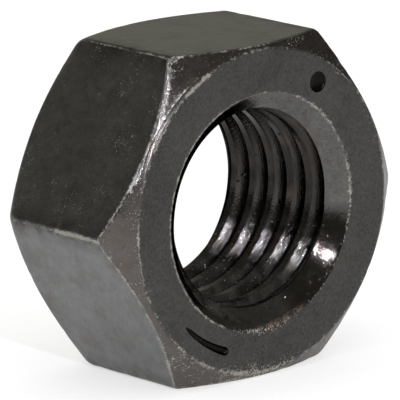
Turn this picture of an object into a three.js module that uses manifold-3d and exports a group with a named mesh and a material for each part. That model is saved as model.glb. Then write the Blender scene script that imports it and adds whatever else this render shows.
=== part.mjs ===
// A plain hexagon nut: one solid piece of blackened steel, thread M20 with the coarse 2.5 mm pitch, right-hand.
// Both ends are turned to a cone, so a round bearing face is left inside the six corners,
// and the threaded hole opens through a countersink at each end.
//
// Millimetres, +Z up. The nut stands on one of its flats, with the thread axis along Y
// and the marked face towards -Y. The origin is on the thread axis, halfway between the faces.
// Each shape is first made about its own +Z axis, marked face up, and the finished nut is then laid over.

import * as THREE from "three";
import { mergeVertices } from "three/addons/utils/BufferGeometryUtils.js";
import Module from "manifold-3d";

// Hexagon
const acrossFlats = 30;
const thickness = 16;
const cornerRadius = 1;
const cornerSteps = 5;

// Bearing faces and the cones around them. Cone angles are measured from the face.
const markedFaceDiameter = 29.2;
const markedConeAngle = 38.8;
const plainFaceDiameter = 28.8;
const plainConeAngle = 36;

// Thread
const threadDiameter = 20;
const threadPitch = 2.5;
const holeDiameter = 17.6;
const threadStart = 0.2; // turns, from +X
const flankAngle = 30; // from a plane across the axis
const rootFlat = threadPitch / 8;

// Countersinks
const countersinkDiameter = 21.4;
const countersinkAngle = 35; // from the face

// Stamped marks on the marked face. Angles are anticlockwise from +X, seen from the front.
const markRadius = 12.7;
const markDepth = 0.3;
const barWidth = 0.65;
const barFrom = 223.5;
const barTo = 250.5;
const dotAngle = 57;
const dotDiameter = 1.9;
const dotFloorDiameter = 1.2;

const turnedSides = 72;
const threadSides = 48;
const dotSides = 20;
const overrun = 1; // how far each cutting shape runs past the face it opens

const half = thickness / 2;
const radians = THREE.MathUtils.degToRad;

const wasm = await Module();
wasm.setup();

// A closed three.js geometry as a manifold-3d solid.
function solidFrom(geometry) {
  const bare = geometry.clone();
  bare.deleteAttribute("normal");
  bare.deleteAttribute("uv");
  const merged = mergeVertices(bare, 1e-4);
  return new wasm.Manifold(
    new wasm.Mesh({
      numProp: 3,
      vertProperties: merged.attributes.position.array,
      triVerts: new Uint32Array(merged.index.array),
    }),
  );
}

// A manifold-3d solid as a three.js geometry with flat-shaded faces.
function geometryFrom(solid) {
  const mesh = solid.getMesh();
  const indexed = new THREE.BufferGeometry();
  indexed.setAttribute("position", new THREE.BufferAttribute(mesh.vertProperties, 3));
  indexed.setIndex(new THREE.BufferAttribute(mesh.triVerts, 1));
  const faceted = indexed.toNonIndexed();
  faceted.computeVertexNormals();
  return faceted;
}

// A turned solid about +Z. The outline holds [radius, height] points, from the bottom of the axis to its top.
function turned(outline, sides) {
  const points = outline.map(([radius, height]) => new THREE.Vector2(radius, height));
  return new THREE.LatheGeometry(points, sides).rotateX(Math.PI / 2);
}

// The six-sided prism with its long edges rounded, a corner on +X and a flat on +Y.
function hexagonPrism() {
  const outline = new THREE.Shape();
  const centreRadius = (acrossFlats / 2 - cornerRadius) / Math.cos(radians(30));
  for (let corner = 0; corner < 6; corner++) {
    const angle = radians(60 * corner);
    const x = centreRadius * Math.cos(angle);
    const y = centreRadius * Math.sin(angle);
    outline.absarc(x, y, cornerRadius, angle - radians(30), angle + radians(30), false);
  }
  outline.closePath();
  const options = { depth: thickness, bevelEnabled: false, curveSegments: cornerSteps };
  return new THREE.ExtrudeGeometry(outline, options).translate(0, 0, -half);
}

// The turned envelope that the hexagon is cut to: two flat faces, each with a cone around it.
function turnedEnvelope() {
  const outside = acrossFlats * 0.6;
  const markedRadius = markedFaceDiameter / 2;
  const plainRadius = plainFaceDiameter / 2;
  const markedDrop = (outside - markedRadius) * Math.tan(radians(markedConeAngle));
  const plainDrop = (outside - plainRadius) * Math.tan(radians(plainConeAngle));
  return turned(
    [
      [0, -half],
      [plainRadius, -half],
      [outside, plainDrop - half],
      [outside, half - markedDrop],
      [markedRadius, half],
      [0, half],
    ],
    turnedSides,
  );
}

// The space inside the thread: a round core with a V-shaped ridge winding round it, one turn each pitch.
// The outline of one pitch is repeated up the axis, and each side of the thread stands a little higher
// than the one before, so after a full turn a row meets the row one pitch above it.
function threadedCore() {
  const crestRadius = holeDiameter / 2;
  const rootRadius = threadDiameter / 2;
  const flank = (rootRadius - crestRadius) * Math.tan(radians(flankAngle));
  const onePitch = [
    [rootRadius, 0],
    [rootRadius, rootFlat],
    [crestRadius, rootFlat + flank],
    [crestRadius, threadPitch - flank],
  ];
  const rowsPerTurn = onePitch.length;
  const turns = Math.ceil((thickness + 2 * overrun) / threadPitch) + 1;
  const rows = turns * rowsPerTurn;
  const bottom = -half - overrun - threadPitch;
  const positions = [];
  for (let side = 0; side < threadSides; side++) {
    const turn = side / threadSides;
    const angle = 2 * Math.PI * (turn + threadStart);
    for (let row = 0; row <= rows + rowsPerTurn; row++) {
      const [radius, rise] = onePitch[row % rowsPerTurn];
      const height = bottom + rise + threadPitch * (turn + Math.floor(row / rowsPerTurn));
      positions.push(radius * Math.cos(angle), radius * Math.sin(angle), height);
    }
  }
  const column = rows + rowsPerTurn + 1;
  const at = (side, row) =>
    side < threadSides ? side * column + row : row + rowsPerTurn;
  const low = positions.length / 3;
  const high = low + 1;
  positions.push(0, 0, bottom + threadPitch / 2);
  positions.push(0, 0, bottom + threadPitch * (turns + 0.5));
  const faces = [];
  for (let side = 0; side < threadSides; side++) {
    for (let row = 0; row < rows; row++) {
      faces.push(at(side, row), at(side + 1, row), at(side + 1, row + 1));
      faces.push(at(side, row), at(side + 1, row + 1), at(side, row + 1));
    }
    faces.push(low, at(side + 1, 0), at(side, 0));
    faces.push(high, at(side, rows), at(side + 1, rows));
  }
  // The step where each end of the winding meets the turn beside it.
  for (let row = 0; row < rowsPerTurn; row++) {
    faces.push(low, at(0, row), at(0, row + 1));
    faces.push(high, at(0, rows + row + 1), at(0, rows + row));
  }
  const geometry = new THREE.BufferGeometry();
  geometry.setAttribute("position", new THREE.Float32BufferAttribute(positions, 3));
  geometry.setIndex(faces);
  return geometry;
}

// The cone that opens the threaded hole at the marked face.
function countersink() {
  const slope = Math.tan(radians(countersinkAngle));
  const mouth = countersinkDiameter / 2;
  const inner = mouth * 0.7;
  return turned(
    [
      [0, half - (mouth - inner) * slope],
      [inner, half - (mouth - inner) * slope],
      [mouth + overrun / slope, half + overrun],
      [0, half + overrun],
    ],
    turnedSides,
  );
}

// The stamped bar: a shallow groove with round ends, bent round the thread axis.
function stampedBar() {
  const from = radians(barFrom);
  const to = radians(barTo);
  const end = barWidth / 2;
  const outline = new THREE.Shape();
  outline.absarc(0, 0, markRadius + end, from, to, false);
  outline.absarc(markRadius * Math.cos(to), markRadius * Math.sin(to), end, to, to + Math.PI, false);
  outline.absarc(0, 0, markRadius - end, to, from, true);
  outline.absarc(markRadius * Math.cos(from), markRadius * Math.sin(from), end, from + Math.PI, from, false);
  const options = { depth: markDepth + overrun, bevelEnabled: false, curveSegments: 6 };
  return new THREE.ExtrudeGeometry(outline, options).translate(0, 0, half - markDepth);
}

// The punched dot opposite the bar.
function punchedDot() {
  const angle = radians(dotAngle);
  const rim = dotDiameter / 2;
  const floor = dotFloorDiameter / 2;
  const dot = turned(
    [
      [0, half - markDepth],
      [floor, half - markDepth],
      [rim, half],
      [rim, half + overrun],
      [0, half + overrun],
    ],
    dotSides,
  );
  return dot.translate(markRadius * Math.cos(angle), markRadius * Math.sin(angle), 0);
}

function hexNut() {
  const markedCountersink = countersink();
  const plainCountersink = countersink().rotateX(Math.PI);
  const solid = solidFrom(hexagonPrism())
    .intersect(solidFrom(turnedEnvelope()))
    .subtract(solidFrom(threadedCore()))
    .subtract(solidFrom(markedCountersink))
    .subtract(solidFrom(plainCountersink))
    .subtract(solidFrom(stampedBar()))
    .subtract(solidFrom(punchedDot()));
  const blackenedSteel = new THREE.MeshStandardMaterial({
    color: 0x4a4a47,
    roughness: 0.45,
    metalness: 0.9,
  });
  const nut = new THREE.Mesh(geometryFrom(solid), blackenedSteel);
  nut.name = "hex_nut";
  nut.rotation.x = Math.PI / 2;
  return nut;
}

const part = new THREE.Group();
part.add(hexNut());

export default part;
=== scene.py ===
import math
from types import SimpleNamespace

import bpy
from mathutils import Matrix, Vector


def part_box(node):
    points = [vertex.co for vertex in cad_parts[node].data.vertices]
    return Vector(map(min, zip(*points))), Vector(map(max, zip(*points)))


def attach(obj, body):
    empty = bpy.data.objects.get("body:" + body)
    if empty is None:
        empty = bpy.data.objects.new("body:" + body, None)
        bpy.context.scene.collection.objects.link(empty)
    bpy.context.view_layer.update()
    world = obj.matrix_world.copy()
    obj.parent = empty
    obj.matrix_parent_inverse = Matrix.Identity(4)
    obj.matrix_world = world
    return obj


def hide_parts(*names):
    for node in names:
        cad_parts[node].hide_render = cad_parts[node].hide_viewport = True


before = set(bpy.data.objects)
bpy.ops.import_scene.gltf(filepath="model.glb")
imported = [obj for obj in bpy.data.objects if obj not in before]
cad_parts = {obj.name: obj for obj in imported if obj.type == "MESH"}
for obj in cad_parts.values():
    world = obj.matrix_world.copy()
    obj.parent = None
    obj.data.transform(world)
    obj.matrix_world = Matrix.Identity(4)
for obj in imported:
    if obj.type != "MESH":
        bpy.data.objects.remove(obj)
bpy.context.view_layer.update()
mm = 0.001
degree = math.pi / 180


# Camera: a long lens from the front left, a little above the nut

view = {
    "azimuth": -41.29,  # degrees, 0 looks along +Y
    "elevation": 13.55,
    "roll": -1.16,
    "distance": 0.491,  # metres from the middle of the nut
    "lens": 495.3,
    "sensor": 36.0,
    "shiftX": -0.0046,
    "shiftY": -0.0065,
}


def makeCamera():
    data = bpy.data.cameras.new("camera")
    data.sensor_width = view["sensor"]
    data.lens = view["lens"]
    data.shift_x = view["shiftX"]
    data.shift_y = view["shiftY"]
    data.clip_start = 0.01
    data.clip_end = 20
    camera = bpy.data.objects.new("camera", data)
    bpy.context.collection.objects.link(camera)
    azimuth = math.radians(view["azimuth"])
    elevation = math.radians(view["elevation"])
    away = Vector((
        math.sin(azimuth) * math.cos(elevation),
        -math.cos(azimuth) * math.cos(elevation),
        math.sin(elevation),
    ))
    camera.location = away * view["distance"]
    turn = away.to_track_quat("Z", "Y").to_matrix()
    tilt = Matrix.Rotation(math.radians(view["roll"]), 3, away)
    camera.rotation_euler = (tilt @ turn).to_euler()
    bpy.context.scene.camera = camera


makeCamera()
print("camera ready")


# A number or a place inside a node tree, so that a rule reads as a sum

class Term:
    def __init__(self, tree, socket):
        self.tree = tree
        self.socket = socket

    def math(self, operation, *others):
        return made(self.tree, "ShaderNodeMath", self, *others, operation=operation)

    def __add__(self, other):
        return self.math("ADD", other)

    def __radd__(self, other):
        return self.math("ADD", other)

    def __sub__(self, other):
        return self.math("SUBTRACT", other)

    def __rsub__(self, other):
        return made(self.tree, "ShaderNodeMath", other, self, operation="SUBTRACT")

    def __mul__(self, other):
        return self.math("MULTIPLY", other)

    def __rmul__(self, other):
        return self.math("MULTIPLY", other)

    def __truediv__(self, other):
        return self.math("DIVIDE", other)

    def __gt__(self, other):
        return self.math("GREATER_THAN", other)

    def __lt__(self, other):
        return self.math("LESS_THAN", other)

    def __neg__(self):
        return self.math("MULTIPLY", -1.0)


def plug(tree, socket, value):
    if isinstance(value, Term):
        tree.links.new(value.socket, socket)
    elif isinstance(value, bpy.types.NodeSocket):
        tree.links.new(value, socket)
    elif value is not None:
        socket.default_value = value


def made(tree, kind, *values, out=0, **settings):
    node = tree.nodes.new(kind)
    for name, value in settings.items():
        setattr(node, name, value)
    for socket, value in zip(node.inputs, values):
        plug(tree, socket, value)
    return Term(tree, node.outputs[out])


def sin(x):
    return x.math("SINE")


def cos(x):
    return x.math("COSINE")


def tan(x):
    return x.math("TANGENT")


def floor(x):
    return x.math("FLOOR")


def root(x):
    return x.math("SQRT")


def size(x):
    return x.math("ABSOLUTE")


def least(x, y):
    return x.math("MINIMUM", y)


def most(x, y):
    return x.math("MAXIMUM", y)


def held(x, low=0.0, high=1.0):
    return least(most(x, low), high)


def choose(test, yes, no):
    return no + (yes - no) * test


def ramp(value, low, high):  # 0 below low, 1 above high
    return held((value - low) / (high - low))


def place(tree, x, y, z):
    return made(tree, "ShaderNodeCombineXYZ", x, y, z)


def parts(tree, value):  # the x, y and z of a place
    node = tree.nodes.new("ShaderNodeSeparateXYZ")
    plug(tree, node.inputs[0], value)
    return [Term(tree, output) for output in node.outputs]


# The place this share of the way from start to end
def along(tree, start, end, share):
    node = tree.nodes.new("ShaderNodeMix")
    node.data_type = "VECTOR"
    node.clamp_factor = False
    plug(tree, node.inputs[0], share)
    plug(tree, node.inputs[4], start)
    plug(tree, node.inputs[5], end)
    return Term(tree, node.outputs[1])


def vector(tree, operation, *values, out=0):
    return made(tree, "ShaderNodeVectorMath", *values, operation=operation, out=out)


def scaled(tree, value, factor):
    node = tree.nodes.new("ShaderNodeVectorMath")
    node.operation = "SCALE"
    plug(tree, node.inputs[0], value)
    plug(tree, node.inputs[3], factor)
    return Term(tree, node.outputs[0])


# Each w gives the noise another pattern, always the same one
def noise(tree, position, scale, detail=2.0, roughness=0.5, w=None):
    node = tree.nodes.new("ShaderNodeTexNoise")
    node.noise_dimensions = "4D" if w is not None else "3D"
    plug(tree, node.inputs["Vector"], position)
    plug(tree, node.inputs["Scale"], scale)
    plug(tree, node.inputs["Detail"], detail)
    plug(tree, node.inputs["Roughness"], roughness)
    if w is not None:
        plug(tree, node.inputs["W"], w)
    return Term(tree, node.outputs["Fac"])


# The nut. Lengths are in millimetres here and in the tree, which scales the finished solid to metres.

nutLow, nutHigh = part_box("hex_nut")
nut = {
    "Across Flats": (nutHigh.z - nutLow.z) / mm,
    "Thickness": (nutHigh.y - nutLow.y) / mm,
    "Corner Radius": 1.0,
    "Marked Face Diameter": 29.2,
    "Marked Face Shift": 0.2,
    "Marked Shift Angle": 15.0,
    "Marked Cone Angle": 38.8,
    "Plain Face Diameter": 28.7,
    "Plain Cone Angle": 26.0,
    "Thread Diameter": 20.0,
    "Thread Pitch": 2.5,
    "Hole Diameter": 17.6,
    "Thread Start": 0.2,
    "Countersink Diameter": 21.4,
    "Countersink Angle": 35.0,
    "Edge Wear": 0.22,
    "Most Worn Angle": 140.0,
    "Mark Radius": 12.7,
    "Mark Depth": 0.3,
    "Bar Width": 0.65,
    "Bar From": 223.5,
    "Bar To": 250.5,
    "Dot Angle": 57.0,
    "Dot Diameter": 1.9,
    "Seed": 4.0,
}
mesh = {
    "columnsPerSide": 64,
    "columnsOnCorner": 5,
    "rowsBetween": [1, 6, 14, 8, 34, 8, 14, 6, 1],  # on each stretch of the section
    "roundings": [0.0, 0.0, 1.0, 1.0, 1.2, 14.0, 1.0, 1.0, 0.0, 0.0],  # of each corner of the section
    "mostWornCorner": 3,  # counted from 0 along the stretches above
    "filletRows": 7,
    "leastLeg": 0.05,
    "greatestLeg": 1.6,
    "legShare": 0.42,  # of the shorter stretch beside a corner, at most
    "threadSides": 280,
    "rowsPerPitch": 20,
    "threadTurns": 10,
    "threadOverrun": 1.2,  # how far the thread's cutter runs past each face
    "threadFade": 0.5,
    "crestSoftness": 0.12,
    "rootSoftness": 0.1,
    "sinkOverlap": 0.6,  # how far the countersink runs in past the thread's crests
    "barSteps": 40,
    "barSides": 20,
    "dotSegments": 40,
    "dotRings": 20,
    "mergeDistance": 0.002,
    "sharpFrom": 38,  # degrees between two faces
}
halfSide = 30 * degree  # half of one side of the hexagon, seen from the axis


# A tree with a named input for each size, as (tree, sizes inside the tree, identifiers of the inputs)
def newTree(name, sizes):
    tree = bpy.data.node_groups.new(name, "GeometryNodeTree")
    inputs = {}
    for label, value in sizes.items():
        socket = tree.interface.new_socket(name=label, in_out="INPUT", socket_type="NodeSocketFloat")
        socket.default_value = value
        inputs[label] = socket.identifier
    tree.interface.new_socket(name="Geometry", in_out="OUTPUT", socket_type="NodeSocketGeometry")
    entry = tree.nodes.new("NodeGroupInput")
    terms = {label: Term(tree, entry.outputs[label]) for label in sizes}
    return tree, terms, inputs


# A grid of vertices as (geometry, column number, row number)
def gridOf(tree, columns, rows):
    node = tree.nodes.new("GeometryNodeMeshGrid")
    node.inputs["Size X"].default_value = columns
    node.inputs["Size Y"].default_value = rows
    node.inputs["Vertices X"].default_value = columns + 1
    node.inputs["Vertices Y"].default_value = rows + 1
    across, up, _ = parts(tree, made(tree, "GeometryNodeInputPosition"))
    column = floor(across + (columns / 2 + 0.5))
    row = floor(up + (rows / 2 + 0.5))
    return Term(tree, node.outputs["Mesh"]), column, row


# Puts each vertex of a grid in its place and closes the seams
def moved(tree, geometry, position, turnedRound=False):
    node = tree.nodes.new("GeometryNodeSetPosition")
    plug(tree, node.inputs["Geometry"], geometry)
    plug(tree, node.inputs["Position"], position)
    merge = tree.nodes.new("GeometryNodeMergeByDistance")
    plug(tree, merge.inputs["Geometry"], Term(tree, node.outputs[0]))
    merge.inputs["Distance"].default_value = mesh["mergeDistance"]
    if not turnedRound:
        return Term(tree, merge.outputs[0])
    return made(tree, "GeometryNodeFlipFaces", Term(tree, merge.outputs[0]))


# How far the rounded hexagon reaches at an angle from the middle of one of its sides
def hexagonReach(s, offset):
    flat = s["Across Flats"] / 2
    centre = (flat - s["Corner Radius"]) / math.cos(halfSide)
    flatHalf = (flat - s["Corner Radius"]) * math.tan(halfSide)
    flatTurn = (flatHalf / flat).math("ARCTANGENT")
    offset = size(offset)
    flatReach = flat / cos(offset)
    fromCorner = halfSide - offset
    across = centre * sin(fromCorner)
    under = most(s["Corner Radius"] * s["Corner Radius"] - across * across, 0.0)
    cornerReach = centre * cos(fromCorner) + root(under)
    return choose(offset > flatTurn, cornerReach, flatReach), flatTurn


# How far the marked face reaches at an angle round the axis, its circle lying a little to one side
def markedReach(s, angle):
    towardsShift = cos(angle - s["Marked Shift Angle"] * degree)
    return s["Marked Face Diameter"] / 2 + s["Marked Face Shift"] * towardsShift


# The section of the nut in the plane through the axis, as (distance from the axis, place along it)
def sectionPoints(tree, s, reach, angle):
    half = s["Thickness"] / 2
    mouth = s["Countersink Diameter"] / 2
    inner = s["Hole Diameter"] / 2 - mesh["sinkOverlap"]
    sunk = (mouth - inner) * tan(s["Countersink Angle"] * degree)
    marked = markedReach(s, angle)
    plain = s["Plain Face Diameter"] / 2
    markedDrop = (reach - marked) * tan(s["Marked Cone Angle"] * degree)
    plainDrop = (reach - plain) * tan(s["Plain Cone Angle"] * degree)
    return [
        place(tree, 0.0, sunk - half, 0.0),
        place(tree, inner, sunk - half, 0.0),
        place(tree, mouth, -half, 0.0),
        place(tree, marked, -half, 0.0),
        place(tree, reach, markedDrop - half, 0.0),
        place(tree, reach, half - plainDrop, 0.0),
        place(tree, plain, half, 0.0),
        place(tree, mouth, half, 0.0),
        place(tree, inner, half - sunk, 0.0),
        place(tree, 0.0, half - sunk, 0.0),
    ]


# The solid before its thread is cut: a hexagon with both ends coned and countersunk.
# Each corner of the section is rounded by wear, from a leg before it to a leg after it.
def nutBlank(tree, s):
    rowsBetween = mesh["rowsBetween"]
    roundings = mesh["roundings"]
    bend = mesh["filletRows"]
    rows = sum(rowsBetween) + bend * sum(1 for r in roundings if r)
    perSide = mesh["columnsPerSide"]
    columns = 6 * perSide
    grid, column, row = gridOf(tree, columns, rows)
    side = floor(column / perSide)
    across = (column - side * perSide) * (2 / perSide) - 1.0
    onFlat = 1.0 - 2 * mesh["columnsOnCorner"] / perSide
    flatTurn = hexagonReach(s, across * halfSide)[1]
    past = most(size(across) - onFlat, 0.0) / (1.0 - onFlat)
    turn = least(size(across) / onFlat, 1.0) * flatTurn + past * (halfSide - flatTurn)
    offset = turn * across.math("SIGN")
    reach = hexagonReach(s, offset)[0]
    angle = side * (2 * halfSide) + halfSide + offset
    points = sectionPoints(tree, s, reach, angle)
    direction = place(tree, cos(angle), 0.0, sin(angle))
    current = points[0]
    start = 0
    last = points[0]
    for index, between in enumerate(rowsBetween):
        target = points[index + 1]
        leave = target
        arrive = target
        if roundings[index + 1]:
            worn = noise(tree, direction, 5.0 + index, 3.0, 0.6, w=s["Seed"] + index * 3.1)
            leg = s["Edge Wear"] * roundings[index + 1] * (worn * 2.2 - 0.1)
            if index == mesh["mostWornCorner"]:
                aim = cos(angle - s["Most Worn Angle"] * degree)
                leg = leg * (1.0 + 1.3 * ramp(aim, 0.9, 0.98))
            back = vector(tree, "SUBTRACT", points[index], target)
            ahead = vector(tree, "SUBTRACT", points[index + 2], target)
            backLength = vector(tree, "LENGTH", back, out=1)
            aheadLength = vector(tree, "LENGTH", ahead, out=1)
            leg = held(leg, mesh["leastLeg"], mesh["greatestLeg"])
            leg = least(leg, least(backLength, aheadLength) * mesh["legShare"])
            arrive = vector(tree, "ADD", target, scaled(tree, vector(tree, "NORMALIZE", back), leg))
            leave = vector(tree, "ADD", target, scaled(tree, vector(tree, "NORMALIZE", ahead), leg))
        share = held((row - float(start)) / float(between))
        straight = along(tree, last, arrive, share)
        current = along(tree, current, straight, row > start - 0.5)
        start += between
        if roundings[index + 1]:
            share = held((row - float(start)) / float(bend))
            inward = along(tree, arrive, target, share)
            outward = along(tree, target, leave, share)
            curve = along(tree, inward, outward, share)
            current = along(tree, current, curve, row > start - 0.5)
            start += bend
        last = leave
    radius, depth, _ = parts(tree, current)
    return moved(tree, grid, place(tree, radius * cos(angle), depth, radius * sin(angle)), turnedRound=True)


# The space inside the thread, a core with a ridge winding round it, running out past both faces
def threadedCore(tree, s):
    perPitch = mesh["rowsPerPitch"]
    turns = mesh["threadTurns"]
    rows = turns * perPitch + 2
    sides = mesh["threadSides"]
    grid, column, row = gridOf(tree, sides, rows)
    pitch = s["Thread Pitch"]
    crest = s["Hole Diameter"] / 2
    deepest = s["Thread Diameter"] / 2
    end = s["Thickness"] / 2 + mesh["threadOverrun"]
    turn = column / sides
    phase = (row - 1.0) / perPitch
    height = pitch * (phase + turn - (turns + 1) / 2)
    fromGroove = size((phase + 0.5).math("FRACT") - 0.5) * pitch  # along the axis, from the groove's middle
    flank = deepest - (fromGroove - pitch / 16) / math.tan(30 * degree)
    softened = flank.math("SMOOTH_MAX", crest, mesh["crestSoftness"])
    softened = softened.math("SMOOTH_MIN", deepest, mesh["rootSoftness"])
    fade = held((end - size(height)) / mesh["threadFade"])
    radius = crest + (softened - crest) * fade
    height = held(height, -end, end)
    capped = (row < 0.5) + (row > rows - 0.5)
    radius = radius * (1.0 - capped)
    lowCap = (row < 0.5) * -1.0 + (row > rows - 0.5)
    height = height * (1.0 - capped) + end * lowCap
    angle = (turn + s["Thread Start"]) * (2 * math.pi)
    # with the height reversed the thread is right-handed
    return moved(tree, grid, place(tree, radius * cos(angle), -height, radius * sin(angle)))


# A stamped bar bent round the axis, thin at one end and blunt at the other
def stampedBar(tree, s):
    steps = mesh["barSteps"]
    sides = mesh["barSides"]
    grid, column, row = gridOf(tree, steps, sides)
    share = column / steps
    angle = (s["Bar From"] + (s["Bar To"] - s["Bar From"]) * share) * degree
    half = s["Bar Width"] / 2 * (0.55 + 0.75 * share)
    ends = least(share * 6.0, (1.0 - share) * 9.0)
    fromTip = 1.0 - least(ends, 1.0)
    girth = half * root(held(1.0 - fromTip * fromTip))
    around = row / sides * (2 * math.pi)
    radius = s["Mark Radius"] + girth * cos(around)
    depth = s["Thickness"] / -2 + girth * sin(around) * (s["Mark Depth"] / (s["Bar Width"] / 2))
    return moved(tree, grid, place(tree, radius * cos(angle), depth, radius * sin(angle)), turnedRound=True)


# A shallow round punch mark
def punchedDot(tree, s):
    ball = tree.nodes.new("GeometryNodeMeshUVSphere")
    ball.inputs["Segments"].default_value = mesh["dotSegments"]
    ball.inputs["Rings"].default_value = mesh["dotRings"]
    plug(tree, ball.inputs["Radius"], s["Dot Diameter"] / 2)
    angle = s["Dot Angle"] * degree
    move = tree.nodes.new("GeometryNodeTransform")
    plug(tree, move.inputs["Geometry"], Term(tree, ball.outputs["Mesh"]))
    spot = place(tree, s["Mark Radius"] * cos(angle), s["Thickness"] / -2, s["Mark Radius"] * sin(angle))
    plug(tree, move.inputs["Translation"], spot)
    flatten = s["Mark Depth"] / (s["Dot Diameter"] / 2)
    plug(tree, move.inputs["Scale"], place(tree, 1.0, flatten, 1.0))
    return Term(tree, move.outputs[0])


# Where a point of the finished solid lies: which surface it is on and how far it is from an edge.
# The material reads these facts by name.

factNames = (
    "edgeGap",
    "mouthGap",
    "cornerGap",
    "onFace",
    "onFlat",
    "onCone",
    "onSink",
    "onThread",
    "inMark",
    "threadRise",
)
slack = {  # how close a point has to be to count as on a surface, in millimetres
    "face": 0.09,
    "faceRim": 0.1,
    "sink": 0.1,
    "flat": 0.12,
    "markFrom": 0.04,
    "markTo": 0.6,
    "markAside": 1.0,
    "farFromCorner": 9.0,  # the corner gap given to points that are off the flats
}


def surfaceFacts(tree, s):
    x, y, z = parts(tree, made(tree, "GeometryNodeInputPosition"))
    half = s["Thickness"] / 2
    radius = root(x * x + z * z)
    angle = z.math("ARCTAN2", x)
    sixth = 2 * halfSide
    offset = (angle / sixth).math("FLOORED_MODULO", 1.0) * sixth - sixth / 2
    reach = hexagonReach(s, offset)[0]
    mouth = s["Countersink Diameter"] / 2
    crest = s["Hole Diameter"] / 2
    groove = (s["Thread Diameter"] - s["Hole Diameter"]) / 2

    def apart(a, b):
        return root(a * a + b * b)

    gaps = []
    mouthGaps = []
    onFace = 0.0
    onSink = 0.0
    for depth, edge, cone in (
        (y + half, markedReach(s, angle), s["Marked Cone Angle"]),
        (half - y, s["Plain Face Diameter"] / 2, s["Plain Cone Angle"]),
    ):
        drop = (reach - edge) * tan(cone * degree)
        gaps.append(apart(radius - edge, depth))
        gaps.append(apart(radius - reach, depth - drop))
        mouthGaps.append(apart(radius - mouth, depth))
        shallow = (depth < slack["face"]) * (radius > mouth)
        onFace = shallow * (radius < edge + slack["faceRim"]) + onFace
        sinkDepth = (mouth - radius) * tan(s["Countersink Angle"] * degree)
        onSink = (radius < mouth) * (size(depth - sinkDepth) < slack["sink"]) + onSink
    outside = radius > reach - slack["flat"]
    besideMark = size(radius - s["Mark Radius"]) < slack["markAside"]
    inMark = (y + half > slack["markFrom"]) * (y + half < slack["markTo"]) * besideMark
    fromCorner = (sixth / 2 - size(offset)) * radius
    return {
        "edgeGap": least(least(gaps[0], gaps[1]), least(gaps[2], gaps[3])),
        "mouthGap": least(mouthGaps[0], mouthGaps[1]),
        "cornerGap": fromCorner + (1.0 - outside) * slack["farFromCorner"],
        "onFace": held(onFace),
        "onFlat": outside,
        "onCone": held(1.0 - onFace - outside - (radius < mouth)),
        "onSink": held(onSink),
        "onThread": (radius < mouth) * (1.0 - held(onSink)),
        "inMark": inMark,
        "threadRise": held((radius - crest) / groove),
    }


# Years of rattling in a box: broad unevenness all over, and shallow knocks along the edges

wear = {
    "broadScale": 0.16,
    "broadDepth": 0.05,
    "fineScale": 0.75,
    "fineDepth": 0.022,
    "knockScale": 0.55,
    "knockLevel": 0.56,
    "knockReach": 1.1,  # how far from an edge a knock still shows
    "knockDepth": 0.35,
    "threadCalm": 0.7,
}


def battered(tree, s, geometry, facts):  # lengths in millimetres
    position = made(tree, "GeometryNodeInputPosition")
    normal = made(tree, "GeometryNodeInputNormal")
    broad = noise(tree, position, wear["broadScale"], 2.0, 0.5, w=s["Seed"]) - 0.5
    fine = noise(tree, position, wear["fineScale"], 2.0, 0.5, w=s["Seed"] + 7.0) - 0.5
    knocks = noise(tree, position, wear["knockScale"], 1.0, 0.5, w=s["Seed"] + 13.0) - wear["knockLevel"]
    near = held(1.0 - least(facts["edgeGap"], facts["cornerGap"]) / wear["knockReach"])
    outer = 1.0 - facts["onThread"]
    shift = broad * wear["broadDepth"] + fine * wear["fineDepth"] * outer
    shift = shift - most(knocks, 0.0) * near * outer * wear["knockDepth"]
    shift = shift * (1.0 - facts["onThread"] * wear["threadCalm"])
    node = tree.nodes.new("GeometryNodeSetPosition")
    plug(tree, node.inputs["Geometry"], geometry)
    plug(tree, node.inputs["Offset"], scaled(tree, normal, shift))
    return Term(tree, node.outputs[0])


# Stores each fact on the mesh by name, so that it can be read after the mesh has been battered
def keepFacts(tree, geometry, facts):
    kept = {}
    for name in factNames:
        store = tree.nodes.new("GeometryNodeStoreNamedAttribute")
        plug(tree, store.inputs["Geometry"], geometry)
        store.inputs["Name"].default_value = name
        plug(tree, store.inputs["Value"], facts[name])
        geometry = Term(tree, store.outputs[0])
        read = tree.nodes.new("GeometryNodeInputNamedAttribute")
        read.inputs["Name"].default_value = name
        kept[name] = Term(tree, read.outputs[0])
    return geometry, kept


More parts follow.
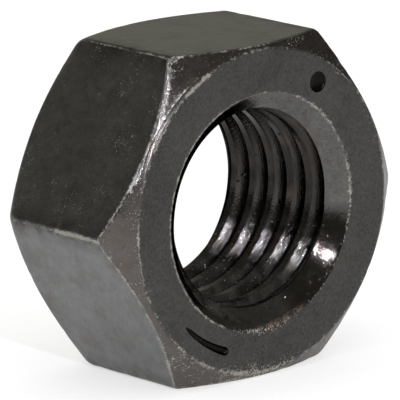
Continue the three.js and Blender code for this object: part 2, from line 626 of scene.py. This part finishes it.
def buildNut(material):
    tree, s, inputs = newTree("nutShape", nut)
    cut = tree.nodes.new("GeometryNodeMeshBoolean")
    cut.operation = "DIFFERENCE"
    cut.solver = "MANIFOLD"
    plug(tree, cut.inputs[0], nutBlank(tree, s))
    for tool in (threadedCore(tree, s), stampedBar(tree, s), punchedDot(tree, s)):
        plug(tree, cut.inputs[1], tool)
    geometry, kept = keepFacts(tree, Term(tree, cut.outputs[0]), surfaceFacts(tree, s))
    geometry = battered(tree, s, geometry, kept)
    scale = tree.nodes.new("GeometryNodeTransform")
    plug(tree, scale.inputs["Geometry"], geometry)
    scale.inputs["Scale"].default_value = (mm, mm, mm)
    realize = made(tree, "GeometryNodeRealizeInstances", Term(tree, scale.outputs[0]))
    smooth = tree.nodes.new("GeometryNodeSetShadeSmooth")
    plug(tree, smooth.inputs["Geometry"], realize)
    crease = tree.nodes.new("GeometryNodeSetShadeSmooth")
    crease.domain = "EDGE"
    plug(tree, crease.inputs["Geometry"], Term(tree, smooth.outputs[0]))
    gentle = made(tree, "GeometryNodeInputMeshEdgeAngle") < mesh["sharpFrom"] * degree
    plug(tree, crease.inputs["Shade Smooth"], gentle)
    paint = tree.nodes.new("GeometryNodeSetMaterial")
    plug(tree, paint.inputs["Geometry"], Term(tree, crease.outputs[0]))
    paint.inputs["Material"].default_value = material
    outlet = tree.nodes.new("NodeGroupOutput")
    plug(tree, outlet.inputs[0], Term(tree, paint.outputs[0]))

    start = bpy.data.objects.new("nutStart", bpy.data.meshes.new("nutStart"))
    bpy.context.collection.objects.link(start)
    modifier = start.modifiers.new("shape", "NODES")
    modifier.node_group = tree
    for label, identifier in inputs.items():
        modifier[identifier] = nut[label]
    graph = bpy.context.evaluated_depsgraph_get()
    shape = bpy.data.meshes.new_from_object(start.evaluated_get(graph))
    bpy.data.objects.remove(start)
    piece = bpy.data.objects.new("nut_body", shape)
    bpy.context.collection.objects.link(piece)
    return piece


# Blackened steel: thin oxide over steel, oily in the thread, rubbed back to pale metal on the edges;
# painted shade darkens the upper thread, the top of the bore and the countersink where the lamp's glint
# falls, and pale specks low in the thread are partly painted sparkle

steel = {
    "flat": (0.170, 0.174, 0.172),
    "face": (0.066, 0.065, 0.062),
    "cone": (0.105, 0.096, 0.090),
    "sink": (0.098, 0.097, 0.093),
    "thread": (0.060, 0.059, 0.057),
    "film": (0.082, 0.075, 0.070),
    "mark": (0.010, 0.009, 0.008),
    "brown": (0.105, 0.078, 0.064),
    # soot and oil, also used for painted shade in the thread and on the countersink
    "sootAndShade": (0.030, 0.026, 0.023),
    "pale": (0.35, 0.33, 0.285),
    "bright": (0.76, 0.75, 0.74),
    "rustBrown": (0.105, 0.056, 0.038),
    "flatRoughness": 0.32,
    "faceRoughness": 0.47,
    "coneRoughness": 0.27,
    "sinkRoughness": 0.085,
    "threadRoughness": 0.075,
    "wornRoughness": 0.29,
    "paleRoughness": 0.6,
    "grazingTint": 0.72,
    "bumpDepth": 0.00003,  # metres
    # Where dirt, wear and painted shade lie: degrees round from +X, and how far they spread to each side
    "glint": (140.0, 26.0),
    "rim": (-91.0, 27.0),
    "mouth": (18.0, 60.0),
    "rust": (-78.0, 18.0),
    # oil on the countersink, and painted shade over the lamp's glint there
    "sinkOilAndShade": (-38.0, 34.0),
    "seam": (196.0, 52.0),
    "crown": (120.0, 7.0),
    "left": (186.0, 66.0),
    "brow": (167.0, 15.0),
    # How far from the axis they begin or end, in millimetres
    "glintFrom": 14.85,
    "browFrom": 15.02,
    "seamFrom": 15.05,
    "leftWithin": 12.0,
    # Long marks on the flats run this way, and are stretched along it
    "brushLine": (0.20, 0.55, -0.81),
    "brushStretch": (0.19, 0.52, -0.77),
}


def newMaterial(name):
    material = bpy.data.materials.new(name)
    material.use_nodes = True
    tree = material.node_tree
    tree.nodes.clear()
    shader = tree.nodes.new("ShaderNodeBsdfPrincipled")
    output = tree.nodes.new("ShaderNodeOutputMaterial")
    tree.links.new(shader.outputs[0], output.inputs[0])
    return material, tree, shader


def attribute(tree, name):
    node = tree.nodes.new("ShaderNodeAttribute")
    node.attribute_name = name
    return Term(tree, node.outputs["Fac"])


# One colour over another
def tint(tree, share, under, over):
    node = tree.nodes.new("ShaderNodeMix")
    node.data_type = "RGBA"
    plug(tree, node.inputs[0], share)
    for socket, value in ((node.inputs[6], under), (node.inputs[7], over)):
        plug(tree, socket, (*value, 1.0) if isinstance(value, tuple) else value)
    return Term(tree, node.outputs[2])


# What the finish is drawn from: where each point lies round the axis, and noises of several sizes
def steelPatterns(tree, fact):
    coordinates = tree.nodes.new("ShaderNodeTexCoord")
    p = scaled(tree, Term(tree, coordinates.outputs["Object"]), 1 / mm)
    x, y, z = parts(tree, p)
    radius = root(x * x + z * z)
    ux = x / radius
    uz = z / radius
    alongTurns = place(tree, ux * 2.4, y * 6.5, uz * 2.4)
    withThread = place(tree, ux * 1.6, fact.threadRise * 14.0, uz * 1.6)
    slope = vector(tree, "DOT_PRODUCT", p, steel["brushLine"], out=1)
    brushed = vector(tree, "SUBTRACT", p, scaled(tree, steel["brushStretch"], slope))
    return SimpleNamespace(
        radius=radius,
        ux=ux,
        uz=uz,
        marked=y < 0.0,
        low=ramp(-uz, 0.0, 0.6),
        cloud=noise(tree, p, 0.22, 4.0, 0.55),
        mottle=noise(tree, p, 0.9, 5.0, 0.6, w=2.0),
        grain=noise(tree, p, 4.5, 3.0, 0.7, w=5.0),
        dust=noise(tree, p, 6.0, 1.0, 0.5, w=9.0),
        stain=noise(tree, p, 0.35, 4.0, 0.6, w=12.0),
        patch=noise(tree, p, 0.3, 3.0, 0.6, w=17.0),
        ragged=noise(tree, p, 2.6, 4.0, 0.75, w=21.0),
        streak=noise(tree, alongTurns, 1.0, 4.0, 0.65, w=25.0),
        brush=noise(tree, brushed, 2.6, 3.0, 0.6, w=29.0),
        pits=ramp(noise(tree, p, 1.6, 2.0, 0.5, w=31.0), 0.66, 0.78),
        crystals=noise(tree, p, 6.0, 1.0, 0.5, w=33.0),
        winding=noise(tree, withThread, 1.0, 4.0, 0.7, w=37.0),
        where=ramp(noise(tree, p, 0.14, 2.0, 0.5, w=41.0), 0.4, 0.65),
        flakes=noise(tree, p, 2.4, 2.0, 0.6, w=45.0),
    )


# How near a direction round the axis lies to one of the places in steel: 1 there, 0 at its spread
def towards(look, name):
    turn, spread = steel[name]
    aim = look.ux * math.cos(turn * degree) + look.uz * math.sin(turn * degree)
    return ramp(aim, math.cos(spread * degree), 1.0)


# The oxide before any dirt or wear, with painted shade on the upper half of the thread
def oxideColour(tree, fact, look):
    colour = tint(tree, fact.onFlat, steel["cone"], steel["flat"])
    colour = tint(tree, fact.onFace, colour, steel["face"])
    colour = tint(tree, fact.onSink, colour, steel["sink"])
    colour = tint(tree, fact.onThread, colour, steel["thread"])
    coarse = 1.0 + fact.onFace * 2.4 + fact.onSink * 1.8
    shade = 0.78 + 0.20 * ramp(look.cloud, 0.3, 0.7) + 0.24 * ramp(look.mottle, 0.3, 0.7)
    shade = shade + (look.grain - 0.5) * coarse * 0.5 + (look.brush - 0.5) * fact.onFlat * 0.35
    colour = scaled(tree, colour, most(shade, 0.1))
    # Streaks along the turns of the thread, stronger in the upper half: a streaky pattern, and painted
    # shade on the upper thread
    streaksAndUpperShade = (1.0 - ramp(look.winding, 0.36, 0.6)) * fact.onThread * (0.7 - 0.55 * look.low)
    colour = scaled(tree, colour, 1.0 - streaksAndUpperShade)
    # The crests of the thread darkened in the upper half: painted shade
    crest = (1.0 - ramp(fact.threadRise, 0.03, 0.14)) * fact.onThread
    colour = scaled(tree, colour, 1.0 - crest * 0.55 * (1.0 - look.low))
    brown = ramp(look.stain, 0.5, 0.75) * (0.6 - 0.35 * fact.onFace)
    return tint(tree, brown, colour, steel["brown"])


# Soot and oil: in dips, beside the long edges and along the turns of the thread; with painted shade at the
# top of the bore and on the countersink where the lamp's glint falls
def sootAndShadeShare(fact, look):
    beside = held(1.0 - fact.cornerGap / 1.8) * ramp(look.mottle + look.grain * 0.4, 0.55, 0.8) * 0.75
    cracks = ramp(look.grain + look.mottle * 0.6, 0.98, 1.12) * 0.6
    flow = ramp(look.streak + (look.cloud - 0.5) * 0.35, 0.40, 0.58)
    # The top of the bore darker: painted shade, added to the oil along the turns
    under = ramp(look.uz, 0.55, 0.95) * 0.55
    oilAndTopShade = held(flow * 0.6 + under) * fact.onThread
    deep = ramp(fact.threadRise, 0.25, 0.8) * fact.onThread * 0.6
    # Oil on the countersink, darkest where the lamp's glint falls: painted shade that dims the glint
    oilAndGlintShade = towards(look, "sinkOilAndShade") * look.marked * fact.onSink
    oilAndGlintShade = held(oilAndGlintShade * 2.5) * ramp(look.mottle + look.grain * 0.3, 0.4, 0.62) * 0.8
    outer = most(beside, cracks * (1.0 - fact.onThread))
    inner = most(most(oilAndTopShade, deep), oilAndGlintShade)
    return held(most(outer, inner))


# A thin film of oil and dust, low in the thread
def filmShare(fact, look):
    blotch = look.mottle + look.grain * 0.5 + (look.cloud - 0.5) * 0.6
    return ramp(blotch, 0.62, 0.86) * look.low * fact.onThread * 0.6


# Oxide rubbed through to pale metal: broken lines on the edges, worst in a few places, and specks; low in
# the thread, pale specks that are partly dust and partly painted sparkle
def paleShare(fact, look):
    rim = towards(look, "rim") * look.marked
    mouth = towards(look, "mouth") * look.marked
    seam = towards(look, "seam") * look.marked
    crown = towards(look, "crown")
    left = towards(look, "left") * look.marked * (look.radius < steel["leftWithin"])
    brow = towards(look, "brow") * look.marked * (look.radius > steel["browFrom"])

    edge = fact.edgeGap * (1.4 - 0.5 * look.where - 0.4 * rim)
    lip = fact.mouthGap * (1.5 - 0.8 * mouth)
    nearest = least(least(edge, lip), fact.cornerGap * 1.3)
    worst = 0.12 * look.where + 0.09 * held(brow * 4.0)
    worst = worst + 0.07 * mouth + 0.05 * rim + 0.10 * held(crown * 3.0)
    alongSeam = (0.04 + 0.065 * (look.radius > steel["seamFrom"])) * held(seam * 3.0)
    worst = held(worst + alongSeam + 0.12 * held(left * 3.0))
    rubbed = ramp(look.ragged + 0.10 + worst - nearest * 0.8, 0.62, 0.76)

    close = held(1.0 - least(least(fact.edgeGap, fact.mouthGap * 1.5), fact.cornerGap) / 1.3)
    crowd = most(ramp(look.patch, 0.46, 0.64), close * (0.55 + 0.45 * rim))
    speck = look.dust * 0.72 + look.flakes * 0.28
    specks = ramp(speck + crowd * (0.07 + 0.09 * rim), 0.645, 0.70) * (0.3 + 0.7 * crowd) * 0.85
    atRim = held(rim * 2.0) * ramp(close, 0.1, 0.6)
    calm = fact.onCone * rim * 0.6 + fact.onFace * 0.85 * (1.0 - atRim) + fact.onSink * 0.92
    specks = specks * (1.0 - fact.onFlat * 0.55)
    specks = specks * (1.0 - calm * (1.0 - ramp(close, 0.55, 0.9)))

    pale = held(most(rubbed * 0.7, specks)) * (1.0 - fact.onThread)
    # Pale specks low in the thread: dust, and painted sparkle where the lamp's glints fall
    dustAndSparkle = ramp(look.dust + look.streak * 0.3, 0.84, 0.89) * fact.onThread * look.low * 0.5
    return held(pale + dustAndSparkle)


# The edge that has been knocked to bare metal
def bareShare(fact, look):
    glint = towards(look, "glint") * look.marked
    bare = ramp(look.ragged * 0.9 - fact.edgeGap * 0.5 + 0.5 * root(glint), 0.52, 0.68) * held(glint * 4.0)
    bare = bare * (look.radius > steel["glintFrom"]) * (1.0 - fact.onFace)
    return bare * (1.0 - fact.onFlat * ramp(fact.edgeGap, 0.04, 0.2))


# A little rust at the lower edge of the countersink
def rustShare(fact, look):
    rusty = towards(look, "rust") * held(1.2 - fact.mouthGap / 0.5) * fact.onSink * look.marked
    return held(rusty * 2.5) * ramp(look.ragged + look.grain * 0.5, 0.66, 0.8)


def steelRoughness(fact, look, pale, film, bare, rusty):
    roughness = choose(fact.onFlat, steel["flatRoughness"], steel["coneRoughness"])
    roughness = choose(fact.onFace, steel["faceRoughness"], roughness)
    roughness = choose(fact.onSink, steel["sinkRoughness"], roughness)
    roughness = choose(fact.onThread, steel["threadRoughness"], roughness)
    uneven = (look.mottle - 0.5) * 0.2 + (look.grain - 0.5) * 0.15
    roughness = roughness + uneven * (1.0 - fact.onThread * 0.7)
    roughness = roughness + film * 0.1
    roughness = choose(held(pale * 1.4), steel["paleRoughness"], roughness)
    roughness = choose(bare, steel["wornRoughness"], roughness)
    return held(roughness + rusty * 0.4, 0.06, 0.9)


# The fine relief: grain and dips outside, streaks along the turns inside, crystals where it is bare
def steelHeight(fact, look, pale, bare):
    inside = fact.onThread + fact.onSink * 0.3
    calmer = 1.0 - fact.onThread * 0.65 - fact.onSink * 0.6
    height = look.grain * 0.5 * (1.0 - fact.onSink * 0.7 - fact.onThread * 0.5)
    height = height + look.crystals * (fact.onThread * 0.5 + fact.onSink * 0.15 + bare * 3.0)
    height = height + look.mottle * calmer - look.pits * 1.2
    height = height + look.streak * inside * 0.35 + look.ragged * pale * 0.8
    return height + look.winding * fact.onThread * 0.5


def blackenedSteel():
    material, tree, shader = newMaterial("blackened_steel")
    fact = SimpleNamespace(**{name: attribute(tree, name) for name in factNames})
    look = steelPatterns(tree, fact)
    film = filmShare(fact, look)
    pale = paleShare(fact, look)
    bare = bareShare(fact, look)
    rusty = rustShare(fact, look)
    colour = oxideColour(tree, fact, look)
    for share, layer in (
        (sootAndShadeShare(fact, look), "sootAndShade"),
        (film, "film"),
        (pale, "pale"),
        (bare * 0.9, "bright"),
        (rusty * 0.7, "rustBrown"),
        (fact.inMark, "mark"),
    ):
        colour = tint(tree, share, colour, steel[layer])
    plug(tree, shader.inputs["Base Color"], colour)
    plug(tree, shader.inputs["Metallic"], held(1.0 - pale * 0.7 - film * 0.4 - rusty * 0.5))
    shader.inputs["Specular Tint"].default_value = (*3 * (steel["grazingTint"],), 1.0)
    plug(tree, shader.inputs["Roughness"], steelRoughness(fact, look, pale, film, bare, rusty))
    bump = tree.nodes.new("ShaderNodeBump")
    bump.inputs["Strength"].default_value = 1.0
    bump.inputs["Distance"].default_value = steel["bumpDepth"]
    plug(tree, bump.inputs["Height"], steelHeight(fact, look, pale, bare))
    tree.links.new(bump.outputs[0], shader.inputs["Normal"])
    return material


# The pale floor, the surroundings and the lights

studio = {
    "floorSize": 3.0,
    "floorColour": (0.45, 0.45, 0.446),
    "floorRoughness": 0.9,
    "floorGlow": 0.54,  # the floor is a pale sheet lit softly from below
    "floorGlowColour": (1.0, 1.0, 0.995),
    "domeStrength": 1.15,
    "dark": (0.125, 0.114, 0.102),
    "before": (0.25, 0.24, 0.217),
    "behind": (0.50, 0.49, 0.395),
    "lampPower": 0.85,
    "lampSize": 0.006,
    "lampColour": (0.92, 0.90, 1.0),
    "lampAzimuth": -19.0,
    "lampElevation": 22.6,
    "lampDistance": 0.45,
}


def makeFloor():
    half = studio["floorSize"] / 2
    low = nutLow.z
    shape = bpy.data.meshes.new("floor")
    corners = [(-half, -half, low), (half, -half, low), (half, half, low), (-half, half, low)]
    shape.from_pydata(corners, [], [(0, 1, 2, 3)])
    sheet = bpy.data.objects.new("floor", shape)
    bpy.context.collection.objects.link(sheet)
    material, tree, shader = newMaterial("pale_floor")
    shader.inputs["Base Color"].default_value = (*studio["floorColour"], 1.0)
    shader.inputs["Roughness"].default_value = studio["floorRoughness"]
    shader.inputs["Specular IOR Level"].default_value = 0.0
    shader.inputs["Emission Color"].default_value = (*studio["floorGlowColour"], 1.0)
    shader.inputs["Emission Strength"].default_value = studio["floorGlow"]
    shape.materials.append(material)


# A white dome lights the floor, and polished steel mirrors a dark room with a paler wall behind the nut
def makeWorld():
    world = bpy.data.worlds.new("studio")
    bpy.context.scene.world = world
    world.use_nodes = True
    tree = world.node_tree
    tree.nodes.clear()
    coordinates = tree.nodes.new("ShaderNodeTexCoord")
    side, back, up = parts(tree, coordinates.outputs["Generated"])
    # the wall fades upwards and towards -X, and the front of the room is a little paler than its sides
    wall = ramp(back, 0.15, 0.75) * (1.0 - ramp(up, 0.2, 0.65) * 0.75) * ramp(side, -0.7, 0.5)
    near = ramp(-back, 0.05, 0.6)
    room = tree.nodes.new("ShaderNodeBackground")
    colour = tint(tree, near, studio["dark"], studio["before"])
    plug(tree, room.inputs["Color"], tint(tree, wall, colour, studio["behind"]))
    dome = tree.nodes.new("ShaderNodeBackground")
    dome.inputs["Color"].default_value = (1.0, 1.0, 1.0, 1.0)
    dome.inputs["Strength"].default_value = studio["domeStrength"]
    path = tree.nodes.new("ShaderNodeLightPath")
    mix = tree.nodes.new("ShaderNodeMixShader")
    output = tree.nodes.new("ShaderNodeOutputWorld")
    plug(tree, mix.inputs[0], Term(tree, path.outputs["Is Glossy Ray"]))
    tree.links.new(dome.outputs[0], mix.inputs[1])
    tree.links.new(room.outputs[0], mix.inputs[2])
    tree.links.new(mix.outputs[0], output.inputs[0])


def aimed(name, data, azimuth, elevation, distance):
    light = bpy.data.objects.new(name, data)
    bpy.context.collection.objects.link(light)
    a = math.radians(azimuth)
    e = math.radians(elevation)
    away = Vector((math.sin(a) * math.cos(e), -math.cos(a) * math.cos(e), math.sin(e)))
    light.location = away * distance
    light.rotation_euler = away.to_track_quat("Z", "Y").to_euler()
    return light


def makeLights():
    lamp = bpy.data.lights.new("lamp", "AREA")
    lamp.energy = studio["lampPower"]
    lamp.size = studio["lampSize"]
    lamp.color = studio["lampColour"]
    aimed("lamp", lamp, studio["lampAzimuth"], studio["lampElevation"], studio["lampDistance"])


steelFinish = blackenedSteel()
print("steel ready")
nutPiece = buildNut(steelFinish)
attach(nutPiece, "root")
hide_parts("hex_nut")
print("nut made,", len(nutPiece.data.polygons), "faces")

makeFloor()
makeWorld()
makeLights()
bpy.context.scene.view_settings.view_transform = "Standard"
print("studio ready")
